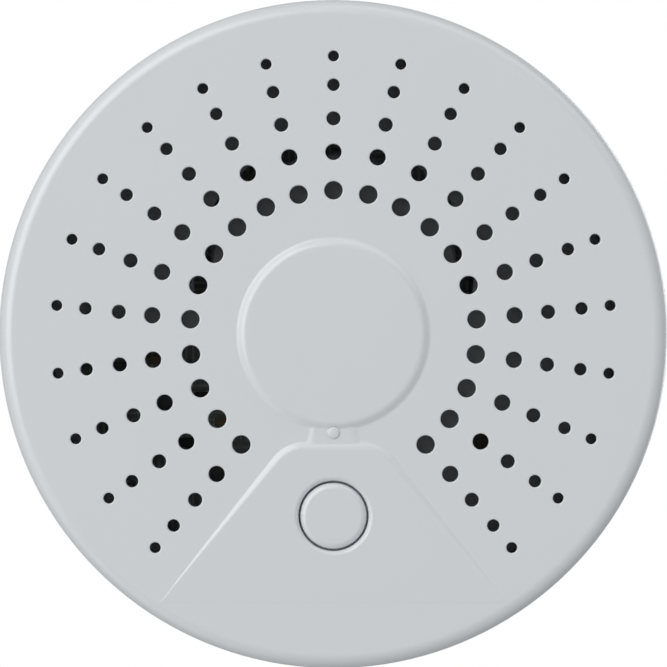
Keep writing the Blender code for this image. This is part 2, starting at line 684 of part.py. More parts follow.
def battery(number, side, direction):
    """A cell along Y, its positive end towards direction, and its two contacts."""
    jacket = new_material(f"cell_jacket_{number}", (0.05, 0.07, 0.09), 0.35, 0.3)
    nickel = new_material(f"contact_nickel_{number}", (0.62, 0.61, 0.58), 0.3, 1.0)
    x = side * cell_pitch / 2
    tip = compartment_half_y - GAP - CONTACT_THICKNESS - GAP
    body = CELL_LENGTH - NUB_LENGTH
    profile = [
        (0, tip), (NUB_RADIUS, tip), (NUB_RADIUS, tip - NUB_LENGTH), (CELL_RADIUS, tip - NUB_LENGTH),
        (CELL_RADIUS, tip - NUB_LENGTH - body), (0, tip - NUB_LENGTH - body),
    ]
    lay = (math.radians(-90 * direction), 0, 0)
    place = (x, 0, cell_axis)
    turned(f"battery_{number}", profile, SMALL_SIDES + 4, place, lay, jacket)
    half = CONTACT_SIDE / 2
    plate = tip + GAP
    block(
        f"plate_contact_{number}", (-half, -half, plate), (half, half, plate + CONTACT_THICKNESS), place,
        lay, nickel, CONTACT_THICKNESS / 4)
    spring_start = tip - CELL_LENGTH - GAP - SPRING_WIRE
    spring_contact(f"spring_contact_{number}", spring_start, place, lay, nickel)


def spring_contact(name, start, place, turn, material):
    """A conical coil of wire that presses on the cell's flat end."""
    run = SPRING_LENGTH - GAP - 2 * SPRING_WIRE
    narrow = CELL_RADIUS * 0.38
    wide = CELL_RADIUS * 0.68
    per_turn = 8
    count = SPRING_TURNS * per_turn
    curve = bpy.data.curves.new(name, "CURVE")
    curve.dimensions = "3D"
    curve.bevel_depth = SPRING_WIRE
    curve.bevel_resolution = 1
    curve.use_fill_caps = True
    spline = curve.splines.new("POLY")
    spline.points.add(count)
    for i, point in enumerate(spline.points):
        share = i / count
        radius = narrow + (wide - narrow) * share
        x, y, _ = polar(radius, 360 * SPRING_TURNS * share)
        point.co = (x, y, start - run * share, 1)
    made = bpy.data.objects.new(name, curve)
    made.location = place
    made.rotation_euler = turn
    made.parent = stand
    pieces.objects.link(made)
    curve.materials.append(material)


# ---------------------------------------------------------------- mounting bracket


def mounting_bracket():
    plastic = new_material("bracket_plastic", (0.78, 0.79, 0.80), 0.55)
    edge = BRACKET_THICKNESS / 4
    profile = [
        (BRACKET_BORE, BRACKET_THICKNESS), (BRACKET_RADIUS - edge, BRACKET_THICKNESS),
        (BRACKET_RADIUS, BRACKET_THICKNESS - edge), (BRACKET_RADIUS, 0), (BRACKET_BORE, 0),
    ]
    bracket = turned("mounting_bracket", profile, BIG_SIDES, material=plastic, closed=True)
    root = BRACKET_THICKNESS / 2
    for number, angle in enumerate(HOOK_ANGLES, 1):
        hook = arc_block(
            f"bayonet_hook_{number}",
            [(hook_inner, root), (hook_outer, root), (hook_outer, floor_top + GAP),
             (lip_outer, floor_top + GAP), (lip_outer, hook_top), (hook_inner, hook_top)],
            angle - HOOK_HALF_WIDTH, 2 * HOOK_HALF_WIDTH, 4)
        join_on(bracket, hook)
    slot_circle = (BRACKET_BORE + BRACKET_RADIUS) / 2
    for number, angle in enumerate(SLOT_ANGLES, 1):
        turn = (0, 0, math.radians(angle + 90))
        place = polar(slot_circle, angle)
        through = slot_cutter(
            f"screw_slot_{number}", SLOT_WIDTH / 2, SLOT_LENGTH, -root, 2 * BRACKET_THICKNESS)
        recess = slot_cutter(
            f"slot_recess_{number}", SLOT_WIDTH / 2 + SLOT_RECESS, SLOT_LENGTH + 2 * SLOT_RECESS,
            BRACKET_THICKNESS - SLOT_RECESS_DEPTH, 2 * BRACKET_THICKNESS)
        for tool in (through, recess):
            tool.location = place
            tool.rotation_euler = turn
        cut_away(bracket, through, recess)


def slot_cutter(name, radius, length, low, high):
    """A round-ended slot along its own X."""
    straight = length / 2 - radius
    right_end = rounded_corner(straight, 0, radius, -90, 180, 6)
    left_end = rounded_corner(-straight, 0, radius, 90, 180, 6)
    outline = right_end + left_end
    bm = bmesh.new()
    face = bm.faces.new([bm.verts.new((x, y, low)) for x, y in outline])
    extruded = bmesh.ops.extrude_face_region(bm, geom=[face], use_keep_orig=True)["geom"]
    raised = [item for item in extruded if isinstance(item, bmesh.types.BMVert)]
    bmesh.ops.translate(bm, verts=raised, vec=(0, 0, high - low))
    return add_piece(name, mesh_from(bm, name))


# ---------------------------------------------------------------- circuit board and what is on it


def chip(name, centre, size, material, lift=0.0):
    """A small rectangular part on the board."""
    half_x = size[0] / 2
    half_y = size[1] / 2
    low = part_floor + lift
    return block(name, (-half_x, -half_y, 0), (half_x, half_y, size[2]), (*centre, low), material=material)


def main_board():
    laminate = new_material("board_laminate", (0.012, 0.030, 0.022), 0.45)
    board = rod("main_board", board_radius, board_bottom, board_top, sides=BIG_SIDES, material=laminate)
    holes = rods(
        "board_holes", BOARD_SCREW_RADIUS + GAP, board_bottom - GAP, board_top + GAP,
        [polar(POST_CIRCLE, angle)[:2] for angle in BOARD_SCREW_ANGLES])
    cut_away(board, holes)


def board_parts():
    module = new_material("module_laminate", (0.02, 0.05, 0.12), 0.4)
    can = new_material("can_steel", (0.6, 0.6, 0.6), 0.35, 1.0)
    silicon = new_material("chip_resin", (0.02, 0.02, 0.022), 0.45)
    film = new_material("resistor_film", (0.03, 0.03, 0.035), 0.4)
    ceramic = new_material("capacitor_ceramic", (0.35, 0.25, 0.16), 0.5)
    ferrite = new_material("inductor_ferrite", (0.06, 0.06, 0.065), 0.6)
    quartz = new_material("crystal_lid", (0.6, 0.6, 0.58), 0.3, 1.0)
    foil = new_material("capacitor_can", (0.65, 0.65, 0.66), 0.3, 1.0)
    chip("wireless_module", MODULE_CENTRE, MODULE_SIZE, module)
    chip("shield_can", (MODULE_CENTRE[0], MODULE_CENTRE[1] + CAN_SHIFT), CAN_SIZE, can, MODULE_SIZE[2] + GAP)
    chip("microcontroller", CONTROLLER_CENTRE, CONTROLLER_SIZE, silicon)
    chip("inductor", INDUCTOR_CENTRE, INDUCTOR_SIZE, ferrite)
    chip("crystal", CRYSTAL_CENTRE, CRYSTAL_SIZE, quartz)
    rod("capacitor_can", CAPACITOR_CAN_RADIUS, 0, CAPACITOR_CAN_HEIGHT, (*CAPACITOR_CAN_CENTRE, part_floor),
        SMALL_SIDES, material=foil)
    for number, centre in enumerate(RESISTOR_CENTRES, 1):
        chip(f"resistor_{number}", centre, RESISTOR_SIZE, film)
    for number, centre in enumerate(CAPACITOR_CENTRES, 1):
        chip(f"capacitor_{number}", centre, CAPACITOR_SIZE, ceramic)


# ---------------------------------------------------------------- light baffle and smoke chamber


def light_baffle():
    plastic = new_material("baffle_plastic", black_plastic, 0.6)
    baffle = rod("light_baffle", board_radius, baffle_bottom, baffle_top, sides=BIG_SIDES, material=plastic)
    for number, angle in enumerate(BAFFLE_LEG_ANGLES, 1):
        x, y, _ = polar(BAFFLE_LEG_CIRCLE, angle)
        leg_top = baffle_bottom + BAFFLE_THICKNESS / 2
        leg = rod(f"baffle_leg_{number}", BAFFLE_LEG_RADIUS, part_floor, leg_top, (x, y, 0))
        join_on(baffle, leg)
    below = baffle_bottom - BAFFLE_THICKNESS
    above = baffle_top + BAFFLE_THICKNESS
    chamber_window = rod(
        "chamber_window", CHAMBER_RADIUS + AIR_GAP, below, above, (0, CHAMBER_LIFT, 0), MIDDLE_SIDES)
    stem_hole = rod(
        "stem_hole", BUTTON_STEM_RADIUS + 4 * GAP, below, above, (0, -BUTTON_DROP, 0), SMALL_SIDES)
    pipe_hole = rod("pipe_hole", LIGHT_RADIUS + GAP, below, above, (0, -LIGHT_DROP, 0), SMALL_SIDES)
    x, y, _ = siren_centre()
    sound_hole = rod("sound_hole", SIREN_PORT + GAP, below, above, (x, y, 0), SMALL_SIDES)
    board_window = arc_block(
        "board_window",
        [(BAFFLE_WINDOW_INNER, below), (BAFFLE_WINDOW_OUTER, below), (BAFFLE_WINDOW_OUTER, above),
         (BAFFLE_WINDOW_INNER, above)],
        BAFFLE_WINDOW_START, BAFFLE_WINDOW_SWEEP, 12)
    cut_away(baffle, chamber_window, stem_hole, pipe_hole, sound_hole, board_window)


def smoke_chamber():
    plastic = new_material("chamber_plastic", black_plastic, 0.5)
    lid_plastic = new_material("lid_plastic", black_plastic, 0.5)
    mesh_steel = new_material("screen_steel", (0.25, 0.25, 0.26), 0.4, 1.0)
    centre = (0, CHAMBER_LIFT, part_floor)
    height = baffle_top - part_floor
    vane_top = height - LID_THICKNESS - GAP
    base = rod("chamber_base", CHAMBER_RADIUS, 0, CHAMBER_FLOOR, centre, MIDDLE_SIDES, material=plastic)
    for number in range(1, VANES + 1):
        angle = 360 * number / VANES
        x, y, _ = polar(VANE_CIRCLE, angle)
        vane = block(
            f"vane_{number}", (-VANE_LENGTH / 2, -VANE_WIDTH / 2, CHAMBER_FLOOR / 2),
            (VANE_LENGTH / 2, VANE_WIDTH / 2, vane_top), (x, y + CHAMBER_LIFT, part_floor),
            (0, 0, math.radians(angle + VANE_TURN)))
        join_on(base, vane)
    edge = LID_THICKNESS / 3
    turned(
        "chamber_lid",
        [(0, height), (CHAMBER_RADIUS - edge, height), (CHAMBER_RADIUS, height - edge),
         (CHAMBER_RADIUS, height - LID_THICKNESS), (0, height - LID_THICKNESS)],
        MIDDLE_SIDES, centre, material=lid_plastic)
    screen_low = CHAMBER_FLOOR + GAP
    turned(
        "insect_screen",
        [(SCREEN_RADIUS, vane_top), (SCREEN_RADIUS, screen_low), (SCREEN_RADIUS - SCREEN_WALL, screen_low),
         (SCREEN_RADIUS - SCREEN_WALL, vane_top)],
        MIDDLE_SIDES, centre, material=mesh_steel, closed=True)
    sensor_height = (CHAMBER_FLOOR + vane_top) / 2
    sensor("infrared_emitter", 205, centre, sensor_height, (0.25, 0.22, 0.3))
    sensor("photodiode", 335, centre, sensor_height, (0.03, 0.03, 0.035))


def sensor(name, angle, centre, height, colour):
    """A bullet-shaped optical part whose nose points at the chamber's centre."""
    resin = new_material(f"{name}_resin", colour, 0.2)
    nose = -SENSOR_REACH
    profile = [
        (0, nose), (SENSOR_RADIUS * 0.6, nose - SENSOR_RADIUS * 0.2),
        (SENSOR_RADIUS, nose - SENSOR_RADIUS * 0.9), (SENSOR_RADIUS, nose - SENSOR_LENGTH),
        (0, nose - SENSOR_LENGTH),
    ]
    turn = (0, math.radians(-90), math.radians(angle))
    turned(name, profile, TINY_SIDES, (centre[0], centre[1], centre[2] + height), turn, resin)


# ---------------------------------------------------------------- siren


def siren_centre():
    return polar(board_radius - SIREN_EDGE_MARGIN - SIREN_RADIUS, SIREN_ANGLE)


def siren():
    plastic = new_material("siren_plastic", (0.015, 0.015, 0.015), 0.5)
    brass = new_material("piezo_brass", (0.72, 0.55, 0.28), 0.35, 1.0)
    x, y, _ = siren_centre()
    place = (x, y, part_floor)
    top = siren_height
    bore = SIREN_RADIUS - SIREN_WALL
    edge = SIREN_WALL / 2
    turned(
        "siren_housing",
        [(SIREN_PORT, top), (SIREN_RADIUS - edge, top), (SIREN_RADIUS, top - edge), (SIREN_RADIUS, 0),
         (bore, 0), (bore, top - SIREN_WALL), (SIREN_PORT, top - SIREN_WALL)],
        MIDDLE_SIDES, place, material=plastic, closed=True)
    disc_top = PIEZO_LIFT + PIEZO_THICKNESS
    rod("piezo_disc", bore - GAP, PIEZO_LIFT, disc_top, place, MIDDLE_SIDES, material=brass)


# ---------------------------------------------------------------- screws


def screw(name, shank, head, head_height, length, place, up, material):
    """A screw whose head's underside is at its origin, its shank along +Z, or along -Z where up is False."""
    recess = head * 0.45
    profile = [
        (0, length), (shank * 0.4, length), (shank, length - shank), (shank, 0), (head, 0),
        (head, -head_height * 0.6), (head * 0.8, -head_height), (recess, -head_height),
        (recess * 0.8, -head_height * 0.45), (0, -head_height * 0.45),
    ]
    turn = (0, 0, 0) if up else (math.radians(180), 0, 0)
    turned(name, profile, TINY_SIDES, place, turn, material)


def screws():
    steel = new_material("screw_steel", (0.5, 0.5, 0.5), 0.35, 1.0)
    seat = rear_back + GAP + SCREW_HEAD_HEIGHT
    for number, angle in enumerate(BOSS_ANGLES, 1):
        x, y, _ = polar(boss_circle, angle)
        screw(f"housing_screw_{number}", SCREW_RADIUS, SCREW_HEAD, SCREW_HEAD_HEIGHT,
              SEAM_HEIGHT + SCREW_GRIP - seat, (x, y, seat), True, steel)
    for number, angle in enumerate(BOARD_SCREW_ANGLES, 1):
        x, y, _ = polar(POST_CIRCLE, angle)
        screw(f"board_screw_{number}", BOARD_SCREW_RADIUS, BOARD_SCREW_HEAD, BOARD_SCREW_HEAD_HEIGHT,
              BOARD_THICKNESS + BOARD_SCREW_GRIP - GAP, (x, y, part_floor), False, steel)


front_cover()
test_button()
push_switch()
status_light()
rear_housing()
battery_door()
hinge_pin()
battery(1, -1, 1)
battery(2, 1, -1)
mounting_bracket()
main_board()
board_parts()
light_baffle()
smoke_chamber()
siren()
screws()
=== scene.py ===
import math

import bpy
from mathutils import Matrix, Vector


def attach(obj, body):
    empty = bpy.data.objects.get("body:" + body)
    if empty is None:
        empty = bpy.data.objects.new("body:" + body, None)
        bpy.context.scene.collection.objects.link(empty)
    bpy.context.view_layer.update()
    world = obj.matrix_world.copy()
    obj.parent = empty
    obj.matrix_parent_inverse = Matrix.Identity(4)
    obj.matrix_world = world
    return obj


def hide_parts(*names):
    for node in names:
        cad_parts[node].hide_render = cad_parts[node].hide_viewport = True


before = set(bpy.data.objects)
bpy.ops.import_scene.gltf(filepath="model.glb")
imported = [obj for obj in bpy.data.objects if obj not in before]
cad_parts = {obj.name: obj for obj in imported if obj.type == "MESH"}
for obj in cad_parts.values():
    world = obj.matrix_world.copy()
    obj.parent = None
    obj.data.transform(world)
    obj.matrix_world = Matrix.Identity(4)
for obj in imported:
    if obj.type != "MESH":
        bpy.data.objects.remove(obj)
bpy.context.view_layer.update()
mm = 0.001
cutReach = 0.5  # how far outside a surface a cutting shape starts

# Everything is modelled lying on its back, the vented face up, and then stood up against the wall.


def pick(obj):
    if bpy.context.object and bpy.context.object.mode != "OBJECT":
        bpy.ops.object.mode_set(mode="OBJECT")
    bpy.ops.object.select_all(action="DESELECT")
    obj.select_set(True)
    bpy.context.view_layer.objects.active = obj


def choosePoints(obj, test):
    # selects the vertices whose place passes the test, and stays in edit mode
    pick(obj)
    bpy.ops.object.mode_set(mode="EDIT")
    bpy.ops.mesh.select_mode(type="VERT")
    bpy.ops.mesh.select_all(action="DESELECT")
    bpy.ops.object.mode_set(mode="OBJECT")
    for point in obj.data.vertices:
        point.select = test(point.co / mm)
    bpy.ops.object.mode_set(mode="EDIT")


def outward(obj):
    pick(obj)
    bpy.ops.object.mode_set(mode="EDIT")
    bpy.ops.mesh.select_all(action="SELECT")
    bpy.ops.mesh.remove_doubles(threshold=0.0005 * mm)
    bpy.ops.mesh.normals_make_consistent(inside=False)
    bpy.ops.object.mode_set(mode="OBJECT")


def place(obj, at=(0, 0, 0), turn=(0, 0, 0)):
    pick(obj)
    obj.location = [value * mm for value in at]
    obj.rotation_euler = [math.radians(value) for value in turn]
    bpy.ops.object.transform_apply(location=True, rotation=True, scale=True)
    return obj


def lathe(name, profile, sides):
    # profile: (radius, height) in mm, from the first end face to the last one
    bpy.ops.object.select_all(action="DESELECT")
    radius, height = profile[0]
    bpy.ops.mesh.primitive_circle_add(vertices=sides, radius=radius * mm, fill_type="NGON")
    made = bpy.context.object
    made.name = name
    bpy.ops.object.mode_set(mode="EDIT")
    bpy.ops.mesh.select_all(action="SELECT")
    bpy.ops.transform.translate(value=(0, 0, height * mm))
    for nextRadius, nextHeight in profile[1:]:
        bpy.ops.mesh.extrude_region_move(
            TRANSFORM_OT_translate={"value": (0, 0, (nextHeight - height) * mm)})
        grow = nextRadius / radius
        bpy.ops.transform.resize(value=(grow, grow, 1), center_override=(0, 0, 0))
        radius, height = nextRadius, nextHeight
    bpy.ops.object.mode_set(mode="OBJECT")
    outward(made)
    return made


def slab(name, low, high):
    bpy.ops.object.select_all(action="DESELECT")
    bpy.ops.mesh.primitive_cube_add(size=mm)
    made = bpy.context.object
    made.name = name
    made.scale = [b - a for a, b in zip(low, high)]
    return place(made, [(a + b) / 2 for a, b in zip(low, high)])


def combine(target, tool, how="DIFFERENCE"):
    mark = target.modifiers.new("combine", "BOOLEAN")
    mark.object = tool
    mark.operation = how
    mark.solver = "EXACT"
    pick(target)
    bpy.ops.object.modifier_apply(modifier=mark.name)
    bpy.data.objects.remove(tool)


def roundEdges(obj, width, segments=2, angle=40):
    # rounds every edge sharper than the angle
    bevel = obj.modifiers.new("edges", "BEVEL")
    bevel.width = width * mm
    bevel.segments = segments
    bevel.limit_method = "ANGLE"
    bevel.angle_limit = math.radians(angle)
    bevel.use_clamp_overlap = True
    pick(obj)
    bpy.ops.object.modifier_apply(modifier=bevel.name)


def smooth(obj, angle=38):
    pick(obj)
    bpy.ops.object.shade_smooth_by_angle(angle=math.radians(angle))
    even = obj.modifiers.new("even", "WEIGHTED_NORMAL")
    even.keep_sharp = True
    bpy.ops.object.modifier_apply(modifier=even.name)


def complete(obj, body, material, slotName, *nodes):
    # stands the piece up, gives it its finish and hands it to the frame
    place(obj, turn=(90, 0, 0))
    smooth(obj)
    obj.data.materials.clear()
    obj.data.materials.append(material)
    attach(obj, body)
    if nodes:
        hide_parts(*nodes)
    return obj


def arcPoints(centre, radius, start, sweep, steps):
    found = []
    for i in range(steps + 1):
        turn = math.radians(start + sweep * i / steps)
        found.append((centre[0] + radius * math.cos(turn), centre[1] + radius * math.sin(turn)))
    return found


def onCircle(radius, angle):
    return radius * math.cos(math.radians(angle)), radius * math.sin(math.radians(angle))


def extent(obj):
    # the lowest and the highest corner of a standing piece, in mm
    corners = [obj.matrix_world @ Vector(corner) / mm for corner in obj.bound_box]
    low = [min(corner[axis] for corner in corners) for axis in range(3)]
    high = [max(corner[axis] for corner in corners) for axis in range(3)]
    return low, high


def stepCurve(width, rise, steepest, steps=12):
    # (run, height) of a soft step that starts and ends level; it is steepest at that share of its width
    warp = math.log(0.5) / math.log(steepest)
    found = []
    for i in range(steps + 1):
        share = (i / steps) ** (1 / warp)
        phase = 2 * math.pi * i / steps
        found.append((width * share, rise * (i / steps - math.sin(phase) / (2 * math.pi))))
    return found


# Finishes


def newGroup(name, inputs, outputs):
    group = bpy.data.node_groups.new(name, "ShaderNodeTree")
    for label, kind, value in inputs:
        group.interface.new_socket(name=label, in_out="INPUT", socket_type=kind).default_value = value
    for label, kind in outputs:
        group.interface.new_socket(name=label, in_out="OUTPUT", socket_type=kind)
    start = group.nodes.new("NodeGroupInput")
    end = group.nodes.new("NodeGroupOutput")
    return group, start, end


def noise(tree, vector, scale, detail=2.0, rough=0.5):
    made = tree.nodes.new("ShaderNodeTexNoise")
    made.inputs["Detail"].default_value = detail
    made.inputs["Roughness"].default_value = rough
    if isinstance(scale, (int, float)):
        made.inputs["Scale"].default_value = scale
    else:
        tree.links.new(scale, made.inputs["Scale"])
    tree.links.new(vector, made.inputs["Vector"])
    return made.outputs["Fac"]


def sums(tree, operation, first, second=None):
    made = tree.nodes.new("ShaderNodeMath")
    made.operation = operation
    for i, value in enumerate((first, second)):
        if value is None:
            continue
        if isinstance(value, (int, float)):
            made.inputs[i].default_value = value
        else:
            tree.links.new(value, made.inputs[i])
    return made.outputs[0]


def blend(tree, share, first, second):
    made = tree.nodes.new("ShaderNodeMix")
    made.data_type = "RGBA"
    made.clamp_result = True
    for socket, value in ((made.inputs[0], share), (made.inputs[6], first), (made.inputs[7], second)):
        if isinstance(value, (int, float)):
            socket.default_value = value
        elif isinstance(value, tuple):
            socket.default_value = (*value, 1)
        else:
            tree.links.new(value, socket)
    return made.outputs[2]


def ramp(tree, value, low, high, first=0.0, last=1.0):
    made = tree.nodes.new("ShaderNodeMapRange")
    made.interpolation_type = "SMOOTHSTEP"
    tree.links.new(value, made.inputs["Value"])
    for label, number in (("From Min", low), ("From Max", high), ("To Min", first), ("To Max", last)):
        made.inputs[label].default_value = number
    return made.outputs["Result"]


def buildSurfaceGroup():
    # fine moulded or cast texture: a little tone drift, uneven gloss and a low grain
    group, start, end = newGroup(
        "surfaceGrain",
        [("Colour", "NodeSocketColor", (0.8, 0.8, 0.8, 1)), ("Tone", "NodeSocketFloat", 0.03),
         ("Gloss", "NodeSocketFloat", 0.4), ("Gloss Drift", "NodeSocketFloat", 0.1),
         ("Grain Scale", "NodeSocketFloat", 3000.0), ("Stretch", "NodeSocketVector", (1, 1, 1))],
        [("Colour", "NodeSocketColor"), ("Roughness", "NodeSocketFloat"), ("Height", "NodeSocketFloat")])
    spot = group.nodes.new("ShaderNodeTexCoord").outputs["Object"]
    stretched = group.nodes.new("ShaderNodeVectorMath")
    stretched.operation = "MULTIPLY"
    group.links.new(spot, stretched.inputs[0])
    group.links.new(start.outputs["Stretch"], stretched.inputs[1])
    where = stretched.outputs[0]
    wide = noise(group, spot, 55.0, 3.0)
    fine = noise(group, where, start.outputs["Grain Scale"], 3.0, 0.6)
    coarse = noise(group, where, sums(group, "MULTIPLY", start.outputs["Grain Scale"], 0.22), 2.0)
    drift = sums(group, "ADD", sums(group, "MULTIPLY", wide, 0.7), sums(group, "MULTIPLY", fine, 0.3))
    share = sums(group, "MULTIPLY", sums(group, "SUBTRACT", drift, 0.5), start.outputs["Tone"])
    level = sums(group, "ADD", share, 1.0)
    shade = group.nodes.new("ShaderNodeVectorMath")
    shade.operation = "SCALE"
    group.links.new(start.outputs["Colour"], shade.inputs[0])
    group.links.new(level, shade.inputs["Scale"])
    group.links.new(shade.outputs[0], end.inputs["Colour"])
    uneven = sums(group, "ADD", sums(group, "MULTIPLY", wide, 0.5), sums(group, "MULTIPLY", coarse, 0.5))
    change = sums(group, "MULTIPLY", sums(group, "SUBTRACT", uneven, 0.5), start.outputs["Gloss Drift"])
    group.links.new(sums(group, "ADD", start.outputs["Gloss"], change), end.inputs["Roughness"])
    low = sums(group, "ADD", sums(group, "MULTIPLY", fine, 0.6), sums(group, "MULTIPLY", coarse, 0.4))
    group.links.new(low, end.inputs["Height"])
    return group


surfaceGrain = buildSurfaceGroup()


def buildBoardGroup():
    # solder mask over copper: parallel runs that step sideways, pads and small plated holes
    group, start, end = newGroup(
        "boardTraces",
        [("Mask", "NodeSocketColor", (0.1, 0.15, 0.14, 1)),
         ("Trace", "NodeSocketColor", (0.16, 0.24, 0.21, 1)), ("Scale", "NodeSocketFloat", 900.0)],
        [("Colour", "NodeSocketColor"), ("Roughness", "NodeSocketFloat"), ("Height", "NodeSocketFloat")])
    spot = group.nodes.new("ShaderNodeTexCoord").outputs["Object"]
    scaled = group.nodes.new("ShaderNodeVectorMath")
    scaled.operation = "SCALE"
    group.links.new(spot, scaled.inputs[0])
    group.links.new(start.outputs["Scale"], scaled.inputs["Scale"])
    bent = group.nodes.new("ShaderNodeVectorMath")
    bent.operation = "SNAP"
    bent.inputs[1].default_value = (2.6, 2.6, 2.6)
    group.links.new(scaled.outputs[0], bent.inputs[0])
    parts = group.nodes.new("ShaderNodeSeparateXYZ")
    group.links.new(scaled.outputs[0], parts.inputs[0])
    flip = sums(group, "GREATER_THAN", noise(group, bent.outputs[0], 0.35, 0.0), 0.5)
    across = sums(group, "MULTIPLY", parts.outputs["X"], flip)
    along = sums(group, "MULTIPLY", parts.outputs["Z"], sums(group, "SUBTRACT", 1.0, flip))
    wave = sums(group, "FRACT", sums(group, "ADD", across, along))
    line = sums(group, "LESS_THAN", sums(group, "ABSOLUTE", sums(group, "SUBTRACT", wave, 0.5)), 0.19)
    holes = group.nodes.new("ShaderNodeTexVoronoi")
    holes.inputs["Scale"].default_value = 0.22
    group.links.new(scaled.outputs[0], holes.inputs["Vector"])
    via = sums(group, "LESS_THAN", holes.outputs["Distance"], 0.12)
    copper = sums(group, "MAXIMUM", line, via)
    shade = blend(group, copper, start.outputs["Mask"], start.outputs["Trace"])
    group.links.new(shade, end.inputs["Colour"])
    gloss = sums(group, "SUBTRACT", 0.42, sums(group, "MULTIPLY", via, 0.12))
    group.links.new(gloss, end.inputs["Roughness"])
    group.links.new(copper, end.inputs["Height"])
    return group


boardTraces = buildBoardGroup()


def buildBandGroup():
    # wide bands across an upright object, with soft edges
    group, start, end = newGroup(
        "jacketBands",
        [("First", "NodeSocketColor", (0.05, 0.05, 0.055, 1)),
         ("Second", "NodeSocketColor", (0.4, 0.24, 0.1, 1)),
         ("Middle", "NodeSocketFloat", 0.0), ("Share", "NodeSocketFloat", 0.006)],
        [("Colour", "NodeSocketColor"), ("Roughness", "NodeSocketFloat"), ("Height", "NodeSocketFloat")])
    spot = group.nodes.new("ShaderNodeTexCoord").outputs["Object"]
    parts = group.nodes.new("ShaderNodeSeparateXYZ")
    group.links.new(spot, parts.inputs[0])
    level = sums(group, "SUBTRACT", parts.outputs["Z"], start.outputs["Middle"])
    band = ramp(group, sums(group, "SUBTRACT", level, start.outputs["Share"]), -0.0001, 0.0001)
    wear = noise(group, spot, 900.0, 3.0, 0.6)
    plain = blend(group, band, start.outputs["First"], start.outputs["Second"])
    worn = blend(group, sums(group, "MULTIPLY", wear, 0.08), plain, (0.3, 0.3, 0.3))
    group.links.new(worn, end.inputs["Colour"])
    group.links.new(sums(group, "ADD", 0.22, sums(group, "MULTIPLY", wear, 0.12)), end.inputs["Roughness"])
    group.links.new(wear, end.inputs["Height"])
    return group


jacketBands = buildBandGroup()


def newFinish(name):
    material = bpy.data.materials.new(name)
    material.use_nodes = True
    return material, material.node_tree, material.node_tree.nodes["Principled BSDF"]


def groupFinish(name, group, settings, metallic=0.0, bump=0.01, specular=0.5):
    # a plastic or metal whose colour, gloss and relief come from one of the groups; bump is in mm
    material, tree, shader = newFinish(name)
    pattern = tree.nodes.new("ShaderNodeGroup")
    pattern.node_tree = group
    for label, value in settings.items():
        pattern.inputs[label].default_value = value
    tree.links.new(pattern.outputs["Colour"], shader.inputs["Base Color"])
    tree.links.new(pattern.outputs["Roughness"], shader.inputs["Roughness"])
    relief = tree.nodes.new("ShaderNodeBump")
    relief.inputs["Distance"].default_value = bump * mm
    tree.links.new(pattern.outputs["Height"], relief.inputs["Height"])
    tree.links.new(relief.outputs["Normal"], shader.inputs["Normal"])
    shader.inputs["Metallic"].default_value = metallic
    shader.inputs["Specular IOR Level"].default_value = specular
    return material


def grainFinish(name, colour, gloss, metallic=0.0, tone=0.04, drift=0.1, scale=3000.0, bump=0.006,
                stretch=(1, 1, 1), specular=0.5):
    settings = {"Colour": (*colour, 1), "Tone": tone, "Gloss": gloss, "Gloss Drift": drift,
                "Grain Scale": scale, "Stretch": stretch}
    return groupFinish(name, surfaceGrain, settings, metallic, bump, specular)


